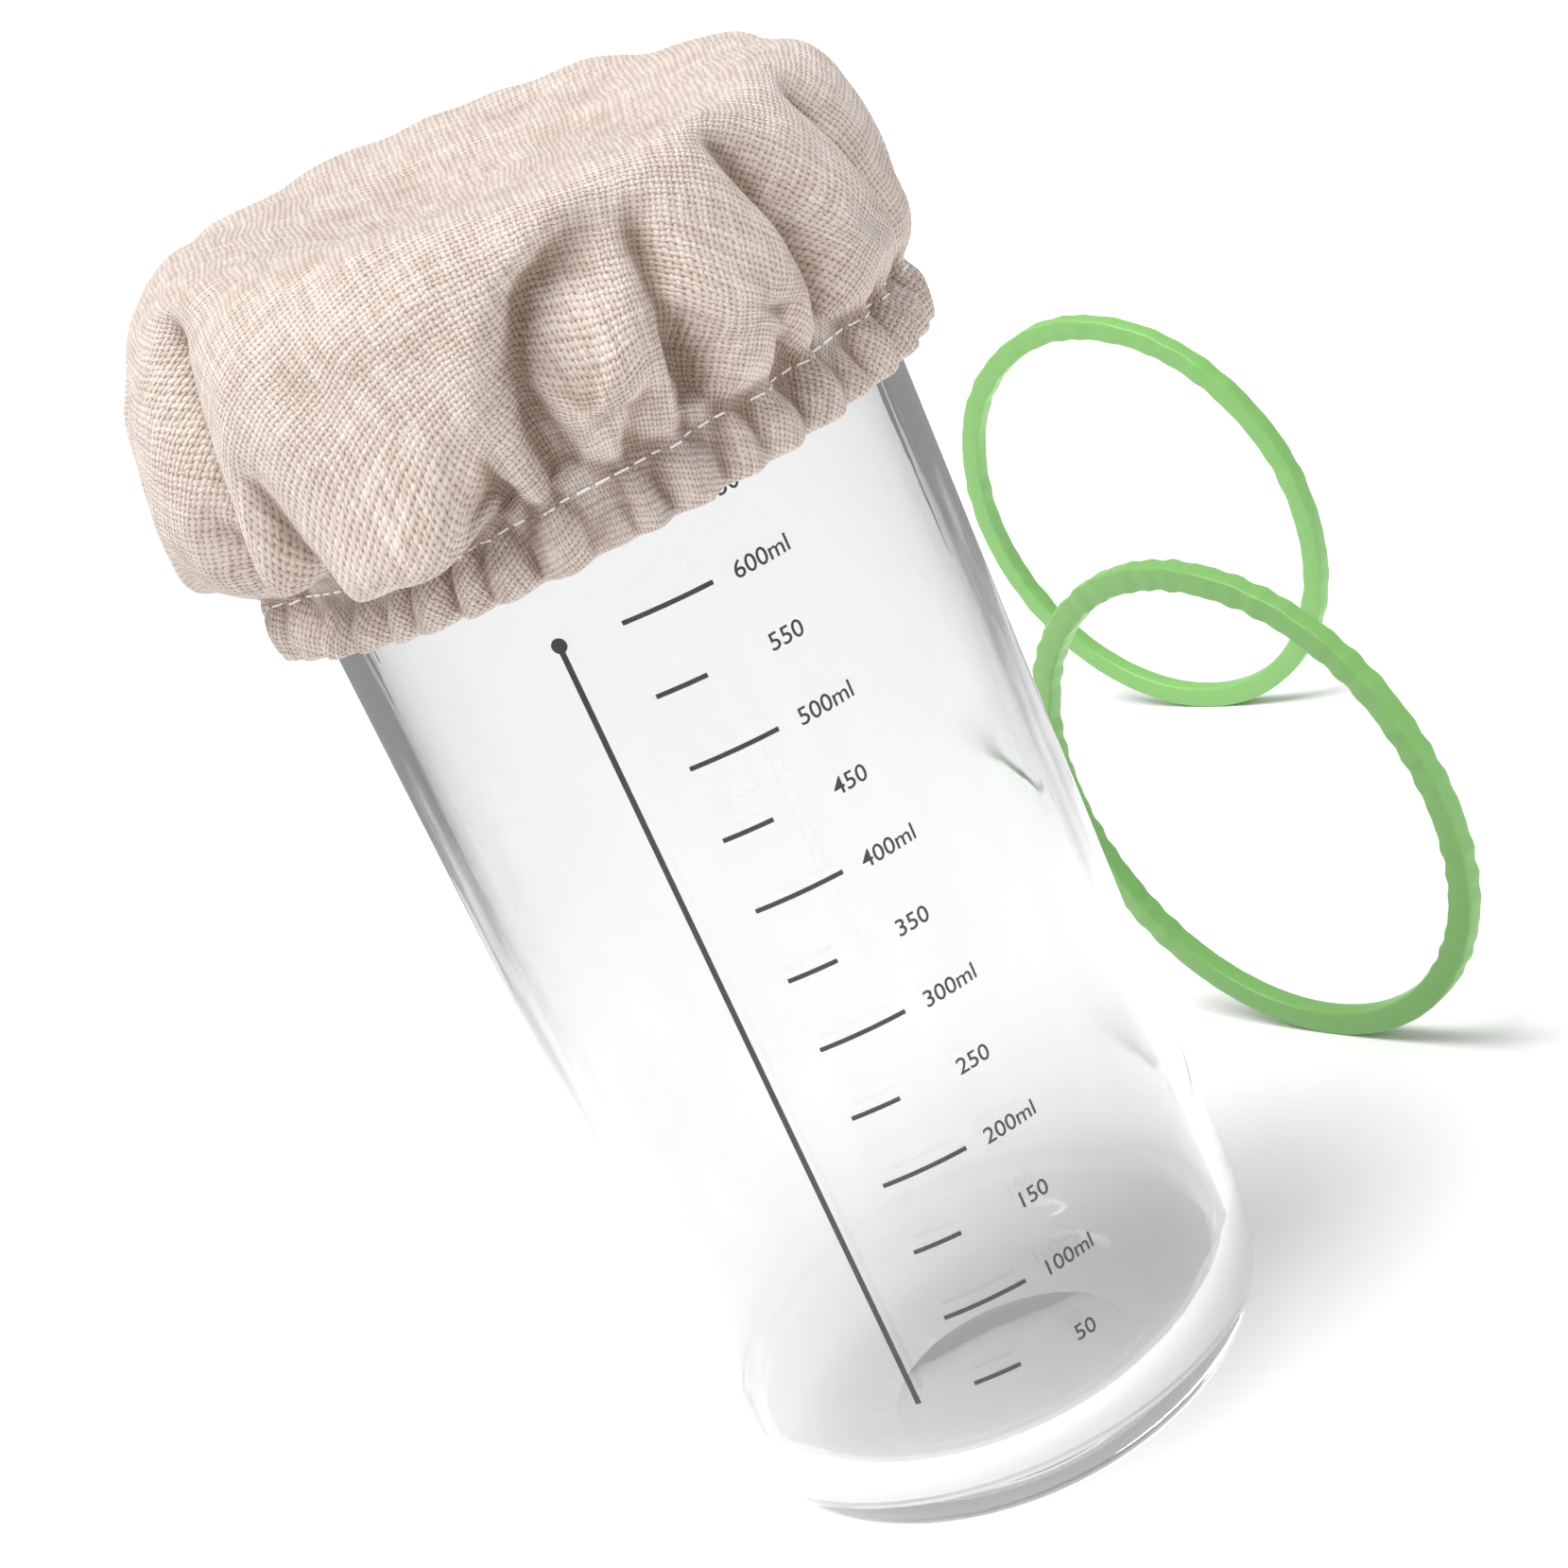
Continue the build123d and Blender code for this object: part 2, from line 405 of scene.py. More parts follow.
# Side outlines of the cap at -X and +X, from the hem up to the crown's middle: radius and height
# in mm.
loose_side = [
    (49.4, 150.6), (50.2, 154.8), (49.6, 159.0), (51.6, 161.7), (54.8, 166.0), (56.5, 173.0),
    (55.8, 180.0), (53.6, 187.5), (49.6, 195.0), (44.0, 200.3), (38.0, 202.0), (28.0, 200.3),
    (14.0, 196.8), (0.0, 195.3),
]
snug_side = [
    (49.0, 156.8), (49.8, 161.0), (49.4, 165.2), (50.4, 168.0), (51.6, 172.5), (51.4, 178.0),
    (50.6, 184.0), (49.4, 188.0), (47.8, 192.0), (44.5, 196.0), (39.0, 197.6), (27.0, 197.0),
    (13.0, 195.8), (0.0, 195.3),
]
hem_pull = [1.0, 1.0, 1.0, 0.85, 0.6, 0.3, 0.12, 0.03]   # how each height follows the hem's tilt
outline_step = 4               # degrees from one worked-out outline to the next
outline_points = 8             # on the curve from one corner to the next

# Creases round the hem: angle, depth in mm, reach up the cloth in mm, width before it and after it
# as shares of a gather, and lean in degrees for each 10 mm up.
Crease = namedtuple("Crease", "angle depth reach width_before width_after lean")
front_creases = [
    (-77, 4.6, 16, 1, 1, 0), (-70, 3.4, 12, 1, 1, 1), (-61, 5.6, 30, 1.5, 0.9, -1),
    (-53, 3.8, 13, 1, 1, 2), (-44.5, 6.0, 25, 1.2, 1.2, 2), (-38, 3.6, 13, 1, 1, 3),
    (-30, 5.4, 18, 1.1, 1, 2), (-23.5, 3.8, 13, 1, 1, 2), (-15.5, 5.8, 20, 1.1, 1.2, 0),
    (-6.5, 6.0, 28, 0.6, 1.7, 1), (1, 3.6, 13, 1, 1, -1), (7.5, 5.0, 18, 1, 1, -2),
    (17, 5.8, 22, 1.2, 1.2, 1), (24, 3.6, 11, 1, 1, -1), (32.5, 5.0, 17, 1, 1.1, 1),
    (42, 5.6, 26, 1, 1.4, 1), (48.5, 3.4, 11, 1, 1, -1), (57, 4.8, 16, 1, 1, 1),
    (67, 5.2, 24, 1.2, 1.2, 0),
]
# Creases round the rest of the hem are drawn at random, every fourth one long. For the long and the
# short ones: least depth, least reach, how much further it may be, and width.
back_start, back_end = 74.5, 279.0
long_crease = (4.6, 24, 14, 1.2)
short_crease = (4.0, 10, 7, 1)
depth_spread = 0.8
lean_spread = 3.0
least_pitch, pitch_spread = 6.6, 2.6   # degrees from one to the next
crease_lean_end = 25.0         # mm up the cloth, where creases stop leaning
crease_power = 1.4             # shape of a crease's sides
# Hollows under the loose cloth: angle, distance up the cloth in mm, depth in mm, width in degrees,
# and height in mm.
hollows = [
    (-44, 13, 6.5, 6, 5), (-31, 13, 5.0, 4, 5), (-16, 17, 6.0, 4, 6), (-6, 18, 4.0, 3, 6),
    (8, 17, 4.0, 4, 5), (18, 18, 5.0, 4, 6), (43, 18, 5.0, 4, 7),
]
# Where the loose cloth sags over its gathers: angle, distance up the cloth in mm, drop and bulge in
# mm, width in degrees, and height in mm.
sags = [
    (-51, 21, 6.5, 2.0, 8, 6), (-29, 20, 8.5, 3.0, 13, 6), (3, 24, 3.5, 1.2, 7, 6),
    (30, 25, 3.0, 1.0, 9, 6), (56, 25, 2.5, 1.0, 8, 6), (95, 22, 3.0, 1.0, 12, 6),
    (150, 22, 4.0, 1.2, 14, 6), (-160, 21, 4.5, 1.2, 14, 6), (-120, 21, 5.0, 1.5, 14, 6),
    (-85, 21, 4.0, 1.2, 10, 6),
]
# Furrows of the loose cloth: corners as angle and distance up the cloth in mm, depth, and width in
# mm towards -X and towards +X.
furrows = [
    ([(-68, 52), (-61, 34), (-57, 18), (-57, 9)], 8.0, 4.0, 5.5),
    ([(10, 42), (-1, 37), (-6, 28), (-8, 18), (-6.5, 9)], 8.5, 1.8, 8.0),
    ([(-46, 30), (-45, 18), (-45, 8)], 6.5, 2.4, 3.5),
    ([(-15, 24), (-16, 16), (-15.5, 8)], 5.0, 2.4, 2.4),
    ([(19, 38), (17, 24), (17, 9)], 5.5, 2.4, 3.6),
    ([(31, 26), (33, 16), (32, 8)], 4.0, 2.4, 2.4),
    ([(38, 42), (42, 28), (43, 9)], 6.5, 2.4, 5.5),
    ([(62, 40), (66, 22), (67, 9)], 5.5, 2.6, 4.5),
    ([(95, 40), (92, 22), (94, 9)], 5.5, 3.0, 5.0),
    ([(128, 46), (124, 26), (122, 9)], 6.0, 5.0, 3.0),
    ([(163, 44), (160, 24), (164, 9)], 5.5, 3.0, 5.0),
    ([(-172, 50), (-168, 28), (-170, 9)], 6.5, 5.0, 3.5),
    ([(-140, 48), (-137, 30), (-141, 9)], 7.0, 3.5, 6.0),
    ([(-112, 52), (-108, 32), (-106, 9)], 7.0, 5.0, 3.5),
    ([(-88, 46), (-86, 28), (-88, 9)], 5.5, 3.0, 4.5),
]
furrow_radius = 50.0           # mm, where the furrows' angles are turned into lengths
furrow_run_out = 14.0          # mm up the cloth over which a furrow's top fades
furrow_top = 0.35              # share of that which lies above its top corner
furrow_power = 1.4             # shape of a furrow's sides
unevenness = 1.1 * MM          # slack of the cloth between its folds
slack_sizes = (17.0 * MM, 8.0 * MM)    # of its broad and its small waves
slack_fade = 12.0 * MM         # way up from the stitches over which it sets in
fold_growth = 0.4              # share by which creases are deeper above the hem
fold_growth_start, fold_growth_span = 6.0, 16.0    # mm up the cloth
# The folds found with these two get painted shade in the cloth's colour.
fold_blur = 40                 # rounds of averaging that level the cloth, to find its folds
fold_full_depth = 0.6 * MM     # depth below the levelled cloth that counts as a deep fold


def back_creases():
    """Uneven creases round the rest of the hem."""
    chance = random.Random(5)
    angle, count = back_start, 0
    while angle < back_end:
        depth, reach, reach_spread, width = long_crease if count % 4 == 1 else short_crease
        depth += depth_spread * chance.random()
        reach += reach_spread * chance.random()
        lean = lean_spread * (chance.random() - 0.5)
        yield (angle + 180) % 360 - 180, depth, reach, width, width, lean
        angle += least_pitch + pitch_spread * chance.random()
        count += 1


creases = sorted(Crease(*values) for values in [*front_creases, *back_creases()])


def hem_edge(angle):
    """Height of the hem's lower edge."""
    tilt_rise = jar_radius * hem_reach * math.sin(math.radians(hem_tilt))
    tilt_share = math.cos(math.radians(angle - hem_high_side))
    return hem_middle - hem_below_elastic + tilt_rise * tilt_share


def side_outline(angle):
    """The cap's outline at an angle: points from the hem to the crown's middle on a smooth curve
    through the outline's corners, and the way along it to each."""
    looseness = (1 - math.sin(math.radians(angle))) / 2
    corners = []
    for loose, snug in zip(loose_side, snug_side):
        radius, height = (a * looseness + b * (1 - looseness) for a, b in zip(loose, snug))
        corners.append(Vector((radius, height)) * MM)
    lift = hem_edge(angle) - corners[0].y
    for corner, share in zip(corners, hem_pull):
        corner.y += lift * share
    ends = [2 * corners[0] - corners[1], *corners, Vector((-corners[-2].x, corners[-2].y))]
    points = []
    for before, start, end, after in zip(ends, ends[1:], ends[2:], ends[3:]):
        slope = end - before
        bend = 2 * before - 5 * start + 4 * end - after
        twist = 3 * start - before - 3 * end + after
        for step in range(outline_points):
            t = step / outline_points
            points.append(0.5 * (2 * start + slope * t + bend * t * t + twist * t * t * t))
    points.append(corners[-1])
    ways = [0.0]
    for start, end in zip(points, points[1:]):
        ways.append(ways[-1] + (end - start).length)
    return points, ways


outlines = {angle: side_outline(angle) for angle in range(-180, 181, outline_step)}


def along_outline(angle, way, cloth_length):
    """Radius and height at a way up the cloth, whose whole length from hem to middle is given."""
    low = math.floor(angle / outline_step) * outline_step
    past_hem = max(0.0, way - hem_depth) / (cloth_length - hem_depth)
    found = []
    for side in (low, min(low + outline_step, 180)):
        points, ways = outlines[side]
        reach = min(way, hem_depth) + past_hem * (ways[-1] - hem_depth)
        index = min(max(bisect_right(ways, reach) - 1, 0), len(points) - 2)
        share = (reach - ways[index]) / (ways[index + 1] - ways[index])
        found.append(points[index].lerp(points[index + 1], min(1, max(0, share))))
    return found[0].lerp(found[1], (angle - low) / outline_step)


def crease_fade(way, reach):
    """A crease keeps its depth for 40% of its reach, then runs out."""
    return 1 - smooth((way / reach - 0.4) / 0.6)


def crease_depth(angle, way):
    """How far the creases, hollows and furrows draw the cloth in, in metres."""
    up = way / MM
    places = [crease.angle + crease.lean * min(up, crease_lean_end) / 10 for crease in creases]
    low = max((i for i in range(len(creases)) if places[i] <= angle), default=len(creases) - 1)
    high = (low + 1) % len(creases)
    start = places[low] - (360 if places[low] > angle else 0)
    end = places[high] + (360 if places[high] < angle else 0)
    share = (angle - start) / (end - start)
    near, far = creases[low], creases[high]
    depth = 0.0
    for crease, off, width in ((near, share, near.width_after), (far, 1 - share, far.width_before)):
        side = max(0, 1 - off / (0.5 * width)) ** crease_power
        depth += crease.depth * crease_fade(up, crease.reach) * side
    depth *= 1 + fold_growth * smooth((up - fold_growth_start) / fold_growth_span)
    for middle, height, deep, wide, tall in hollows:
        off_side, off_height = turn_between(middle, angle) / wide, (up - height) / tall
        depth += deep * math.exp(-(off_side**2) - off_height**2)
    for corners, deep, left, right in furrows:
        depth += deep * furrow_share(corners, left, right, angle, up)
    return depth * MM


def turn_between(start, end):
    """Turn from one angle to another, from -180 to 180."""
    return (end - start + 180) % 360 - 180


def furrow_share(corners, left, right, angle, up):
    """How deep a point lies in a furrow, from 0 to 1."""
    per_degree = math.radians(1) * furrow_radius
    nearest, side = 1e9, 1
    for (a, low), (b, high) in zip(corners, corners[1:]):
        along = Vector((turn_between(a, b) * per_degree, high - low))
        offset = Vector((turn_between(a, angle) * per_degree, up - low))
        share = min(1, max(0, offset.dot(along) / along.length_squared))
        gap = offset - along * share
        if gap.length < nearest:
            nearest, side = gap.length, gap.x
    top_fade = smooth((corners[0][1] - up) / furrow_run_out + furrow_top)
    return top_fade * math.exp(-((nearest / (left if side < 0 else right)) ** furrow_power))


def sagging(angle, up):
    """How far the loose cloth drops and bulges over its gathers, in metres."""
    drop, bulge = 0.0, 0.0
    for middle, height, down, out, wide, tall in sags:
        off_side, off_height = turn_between(middle, angle) / wide, (up - height) / tall
        share = math.exp(-(off_side**4) - off_height**2)
        drop += down * share
        bulge += out * share
    return drop * MM, bulge * MM


def cap_point(x, y):
    """Where a point of the cut cloth, given from the cloth's own centre, lies on the jar."""
    from_axis = Vector((x - cut_offset, y))
    if from_axis.length < 1e-9:
        from_axis = Vector((0, -1e-9))
    angle = math.degrees(math.atan2(from_axis.x, -from_axis.y))
    side = math.sin(math.radians(angle)) * cut_offset
    cloth_length = math.sqrt(side * side - cut_offset**2 + cut_radius**2) - side
    way = cut_radius - math.hypot(x, y)
    centred = min(1, max(0, (way - hem_depth) / centring_way))
    way += (cloth_length - from_axis.length - way) * centred
    place = along_outline(angle, way, cloth_length)
    groove = groove_depth * math.exp(-(((way - hem_depth) / groove_width) ** 2))
    deepness = edge_deepness + (1 - edge_deepness) * min(1, way / edge_width)
    radius = place.x - crease_depth(angle, way) * deepness - groove
    if place.y < lip_height:
        in_valley = way < hem_depth + valley_rise
        radius = max(radius, valley_radius if in_valley else jar_radius + MM)
    broad, small = slack_sizes
    slack = noise.noise(Vector((x, y, 0)) / broad) + 0.5 * noise.noise(Vector((x, y, 1)) / small)
    slack *= unevenness * smooth((way - hem_depth) / slack_fade)
    drop, bulge = sagging(angle, way / MM)
    return around(angle, radius + bulge + slack, place.y + slack - drop)


def cut_cloth():
    """The flat cloth as rings of triangles: points and faces."""
    points, starts = [(0.0, 0.0)], [0]
    for ring in range(1, cloth_rings + 1):
        starts.append(len(points))
        for index in range(6 * ring):
            turn = 2 * math.pi * index / (6 * ring)
            radius = cut_radius * ring / cloth_rings
            points.append((radius * math.cos(turn), radius * math.sin(turn)))
    faces = []
    for ring in range(1, cloth_rings + 1):
        outer, inner = 6 * ring, max(1, 6 * (ring - 1))
        for sector in range(6):
            for index in range(ring):
                first = starts[ring] + (sector * ring + index) % outer
                second = starts[ring] + (sector * ring + index + 1) % outer
                behind = starts[ring - 1] + (sector * (ring - 1) + index) % inner
                beside = starts[ring - 1] + (sector * (ring - 1) + index + 1) % inner
                faces.append((first, second, behind))
                if index < ring - 1:
                    faces.append((behind, second, beside))
    return points, faces


def jar_form(scale):
    """Plain lathed jar for the cloth to rest on. Its outline, in mm from the lip's outside and top,
    runs up the wall, over the rounded lip and down inside."""
    profile = [
        (-0.25, -43.0), (-0.15, -5.0), (0.0, -1.9), (-0.55, -0.6),
        (-1.85, 0.0), (-3.25, -0.5), (-3.8, -2.0), (-3.8, -7.0),
    ]
    steps = 96
    points = [
        around(360 * step / steps, jar_radius + out * MM, lip_height + up * MM) * scale
        for out, up in profile
        for step in range(steps)
    ]
    faces = []
    for row in range(len(profile) - 1):
        for step in range(steps):
            after = (step + 1) % steps
            low, high = row * steps, (row + 1) * steps
            faces.append((low + step, low + after, high + after, high + step))
    return add_mesh("jar_form", points, faces)


def settle_cloth(places, cut_points, faces):
    """The cloth's points after a short cloth simulation: light air inside, its hem held in place.
    It runs at ten times the size, which suits the simulation's own distances."""
    scale = 10.0
    cap = add_mesh("settling_cloth", [place * scale for place in places], faces)
    cap.shape_key_add(name="Basis")
    cut = cap.shape_key_add(name="cut")
    flat = [part * scale for x, y in cut_points for part in (x - cut_offset, y, lip_height)]
    cut.data.foreach_set("co", flat)
    stitched = cut_radius - hem_depth
    hem = [i for i, (x, y) in enumerate(cut_points) if math.hypot(x, y) > stitched]
    held = cap.vertex_groups.new(name="held")
    held.add(hem, 1.0, "REPLACE")
    jar = jar_form(scale)
    jar.modifiers.new("stop", "COLLISION")
    jar.collision.thickness_outer = 0.004
    cloth = cap.modifiers.new("cloth", "CLOTH")
    settings = cloth.settings
    settings.quality = 6
    settings.mass = 0.25
    settings.air_damping = 2.0
    settings.tension_stiffness = 25
    settings.compression_stiffness = 10
    settings.shear_stiffness = 6
    settings.bending_stiffness = 2.5
    settings.vertex_group_mass = "held"
    settings.rest_shape_key = cut
    settings.use_pressure = True
    settings.uniform_pressure_force = 0.18
    settings.effector_weights.gravity = 0.0
    touching = cloth.collision_settings
    touching.distance_min = 0.006
    touching.use_self_collision = True
    touching.self_distance_min = 0.006
    frames = 7
    cloth.point_cache.frame_end = frames
    for step in range(1, frames + 1):
        scene.frame_set(step)
    settled = cap.evaluated_get(bpy.context.evaluated_depsgraph_get()).to_mesh()
    result = [vertex.co / scale for vertex in settled.vertices]
    scene.frame_set(1)
    for helper in (cap, jar):
        bpy.data.objects.remove(helper)
    return result


def add_turned_hem(points, cut_points, faces):
    """Cloth folded in at the hem's lower edge and run up inside, behind the elastic."""
    count = 6 * cloth_rings
    edge = list(range(len(points) - count, len(points)))
    # Share of the way in from the edge to the lining, rise above the edge in mm, and way along the
    # cloth from the edge in mm.
    levels = [
        (0.35, -0.55, 1.0), (0.75, -0.6, 2.2), (1.0, 0.2, 3.4), (1.0, 2.6, 5.8), (1.0, 5.4, 8.6),
    ]
    previous = edge
    for inward, rise, way in levels:
        ring = []
        for index in edge:
            point, (x, y) = points[index], cut_points[index]
            radius = math.hypot(point.x, point.y)
            angle = math.degrees(math.atan2(point.x, -point.y))
            ripple = lining_ripple * math.sin(math.radians(lining_ripples * angle))
            near = radius + (lining_radius + ripple - radius) * inward
            ring.append(len(points))
            points.append(around(angle, near, point.z + rise * MM))
            grown = (cut_radius + way * MM) / cut_radius
            cut_points.append((x * grown, y * grown))
        for index in range(count):
            after = (index + 1) % count
            faces.append((previous[after], previous[index], ring[index], ring[after]))
        previous = ring


def mark_folds(cover):
    """Gives each point of the cloth its depth below the levelled cloth, from 0 to 1 in a deep
    fold. This is the mask for the shade painted into the cloth's folds."""
    mesh = cover.data
    count = len(mesh.vertices)
    places, outward = np.empty((count, 3)), np.empty((count, 3))
    ends = np.empty((len(mesh.edges), 2), dtype=int)
    mesh.vertices.foreach_get("co", places.ravel())
    mesh.vertices.foreach_get("normal", outward.ravel())
    mesh.edges.foreach_get("vertices", ends.ravel())
    here = np.concatenate((ends[:, 0], ends[:, 1]))
    there = np.concatenate((ends[:, 1], ends[:, 0]))
    neighbours = np.bincount(here, minlength=count)
    level = places.copy()
    for _ in range(fold_blur):
        for axis in range(3):
            total = np.bincount(here, weights=level[there, axis], minlength=count)
            level[:, axis] = (level[:, axis] + total / neighbours) / 2
    below = ((level - places) * outward).sum(axis=1)
    fold_shade = mesh.attributes.new("fold_shade", "FLOAT", "POINT")
    fold_shade.data.foreach_set("value", np.clip(below / fold_full_depth, 0, 1))


def add_cover():
    """The gathered cap, and the ring of points that its stitches follow."""
    cut_points, faces = cut_cloth()
    points = [cap_point(x, y) for x, y in cut_points]
    points = settle_cloth(points, cut_points, faces)
    stitch_ring = round(cloth_rings * (1 - hem_depth / cut_radius))
    # Each ring has six points more than the one inside it, and the middle has one point.
    first = 1 + 3 * stitch_ring * (stitch_ring - 1)
    seam = [points[index].copy() for index in range(first, first + 6 * stitch_ring)]
    add_turned_hem(points, cut_points, faces)
    cover = add_mesh("cover_cloth", points, faces)
    uv_map = cover.data.uv_layers.new(name="cut_cloth")
    for loop in cover.data.loops:
        x, y = cut_points[loop.vertex_index]
        uv_map.data[loop.index].uv = (x / cut_map_size + 0.5, y / cut_map_size + 0.5)
    finer = cover.modifiers.new("finer", "SUBSURF")
    finer.levels = finer.render_levels = 1
    apply_modifiers(cover)
    mark_folds(cover)
    cover.data.materials.append(linen_material())
    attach(cover, "cover")
    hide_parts("cloth_cover")
    return cover, seam


def stitch_tree(material):
    """Geometry nodes: short stitches in a row along a closed path."""
    tree = bpy.data.node_groups.new("running_stitch", "GeometryNodeTree")
    tree.interface.new_socket("Path", in_out="INPUT", socket_type="NodeSocketGeometry")
    sizes = ("Spacing", 2.6 * MM), ("Stitch Length", 1.8 * MM), ("Thread Radius", 0.16 * MM)
    for label, value in sizes:
        socket = tree.interface.new_socket(label, in_out="INPUT", socket_type="NodeSocketFloat")
        socket.default_value = value
    tree.interface.new_socket("Stitches", in_out="OUTPUT", socket_type="NodeSocketGeometry")
    nodes = Nodes(tree)
    given = nodes.add("NodeGroupInput").outputs
    path = nodes.fill(nodes.add("GeometryNodeMeshToCurve"), Mesh=given["Path"])[0]
    places = nodes.fill(
        nodes.add("GeometryNodeCurveToPoints", mode="LENGTH"), Curve=path, Length=given["Spacing"]
    )
    stitch = nodes.fill(
        nodes.add("GeometryNodeMeshCylinder", fill_type="TRIANGLE_FAN"),
        Vertices=8,
        Side_Segments=4,
        Radius=given["Thread Radius"],
        Depth=given["Stitch Length"],
    )
    # The random sizes of the stitches lie between these two, for the thread's sides and its length.
    jitter = nodes.add("FunctionNodeRandomValue", data_type="FLOAT_VECTOR")
    jitter.inputs[0].default_value = (0.9, 0.9, 0.8)
    jitter.inputs[1].default_value = (1.1, 1.1, 1.1)
    jitter.inputs["Seed"].default_value = 3
    placed = nodes.fill(
        nodes.add("GeometryNodeInstanceOnPoints"),
        Points=places["Points"],
        Instance=stitch["Mesh"],
        Rotation=places["Rotation"],
        Scale=jitter.outputs[0],
    )[0]
    real = nodes.fill(nodes.add("GeometryNodeRealizeInstances"), Geometry=placed)[0]
    finished = nodes.fill(nodes.add("GeometryNodeSetMaterial"), Geometry=real, Material=material)[0]
    nodes.link(finished, nodes.add("NodeGroupOutput").inputs[0])
    return tree


def add_stitches(seam):
    """The seam that holds the casing, just outside the cloth."""
    points = [
        point + Vector((point.x, point.y, 0)).normalized() * 0.1 * MM for point in seam
    ]
    stitches = add_mesh("hem_stitches", points, [])
    stitches.data.edges.add(len(points))
    ends = [index for start in range(len(points)) for index in (start, (start + 1) % len(points))]
    stitches.data.edges.foreach_set("vertices", ends)
    stitches.data.update()
    maker = stitches.modifiers.new("stitches", "NODES")
    maker.node_group = stitch_tree(thread_material())
    apply_modifiers(stitches)
    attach(stitches, "cover")
    return stitches


# Printed scale: heights of the marks above the jar's base, in mm, for each volume in ml.
mark_heights = {
    50: 29.4, 100: 40.4, 150: 51.25, 200: 62.1, 250: 72.9, 300: 83.7, 350: 94.35,
    400: 105.0, 450: 115.55, 500: 126.1, 550: 136.55, 600: 147.0, 650: 157.4,
}
mark_start = -7.6              # angles round the jar
long_mark_end = 9.0
short_mark_end = 1.8
mark_thickness = 0.65 * MM
line_angle = -19.0
line_ends = (29.0, 147.1)      # heights in mm
line_width = 0.8 * MM
dot_radius = 1.05 * MM
digit_height = 2.4 * MM
number_start = {True: 12.8, False: 13.4}   # angle where a number starts, with ml or without
digit_share = 0.72             # height of the built-in letters' digits, as a share of their size
stroke_growth = 0.018 * MM     # thickening of the numbers' strokes
ink_lift = 0.03 * MM
ink_depth = 0.04 * MM
wall_draft = 0.52              # degrees, the wall narrows towards the base


def wall_radius(height):
    """Outside of the jar's wall."""
    return jar_radius - (lip_height - height) * math.tan(math.radians(wall_draft))


def on_wall(angle, height, lift):
    """Point that is lifted off the jar's wall."""
    return around(angle, wall_radius(height) + lift, height)


def print_strip(name, corners, steps):
    """A strip of ink on the wall between two angles and two heights, with its edges closed."""
    (left, low), (right, high) = corners
    ink_top = ink_lift + ink_depth
    points, faces = [], []
    for step in range(steps + 1):
        angle = left + (right - left) * step / steps
        for height, lift in ((low, ink_lift), (high, ink_lift), (high, ink_top), (low, ink_top)):
            points.append(on_wall(angle, height, lift))
    for step in range(steps):
        a, b = 4 * step, 4 * step + 4
        for side in range(4):
            after = (side + 1) % 4
            faces.append((a + side, a + after, b + after, b + side))
    faces.append((0, 3, 2, 1))
    end = 4 * steps
    faces.append((end, end + 1, end + 2, end + 3))
    return add_mesh(name, points, faces, shade_smooth=False)


def print_number(text, angle, height):
    """A number of ink, bent round the wall, its left end at an angle and its middle at a height."""
    curve = bpy.data.curves.new("number", "FONT")
    curve.body = text
    curve.size = digit_height / digit_share
    curve.extrude = ink_depth / 2
    curve.offset = stroke_growth
    curve.resolution_u = 4
    letters = bpy.data.objects.new("number", curve)
    scene.collection.objects.link(letters)
    mesh = finished_mesh(letters)
    bpy.data.objects.remove(letters)
    radius = wall_radius(height)
    foot, ink_middle = height - digit_height / 2, ink_lift + ink_depth / 2
    for vertex in mesh.vertices:
        x, y, z = vertex.co
        vertex.co = on_wall(angle + math.degrees(x / radius), foot + y, ink_middle + z)
    number = bpy.data.objects.new("number", mesh)
    scene.collection.objects.link(number)
    return number


def add_scale():
    """Marks, numbers and the long line with its dot, printed on the jar's wall."""
    prints = []
    for volume, height in mark_heights.items():
        whole = volume % 100 == 0
        middle = height * MM
        end = long_mark_end if whole else short_mark_end
        low, high = middle - mark_thickness / 2, middle + mark_thickness / 2
        text = f"{volume}ml" if whole else str(volume)
        prints.append(print_strip("mark", ((mark_start, low), (end, high)), 12))
        prints.append(print_number(text, number_start[whole], middle))
    half = math.degrees(line_width / 2 / jar_radius)
    low, high = (height * MM for height in line_ends)
    prints.append(print_strip("line", ((line_angle - half, low), (line_angle + half, high)), 2))
    steps = 32
    points, faces = [], []
    for lift in (ink_lift, ink_lift + ink_depth):
        for step in range(steps):
            turn = 2 * math.pi * step / steps
            angle = line_angle + math.degrees(dot_radius * math.cos(turn) / jar_radius)
            points.append(on_wall(angle, high + dot_radius * math.sin(turn), lift))
    for step in range(steps):
        after = (step + 1) % steps
        faces.append((step, after, steps + after, steps + step))
    faces.append(tuple(range(steps, 2 * steps)))
    faces.append(tuple(reversed(range(steps))))
    prints.append(add_mesh("dot", points, faces, shade_smooth=False))
    points, faces = [], []
    for part in prints:
        start = len(points)
        points += [vertex.co.copy() for vertex in part.data.vertices]
        for polygon in part.data.polygons:
            faces.append([start + index for index in polygon.vertices])
        bpy.data.objects.remove(part)
    scale = add_mesh("volume_scale", points, faces, shade_smooth=False)
    scale.data.materials.append(ink_material())
    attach(scale, "jar")


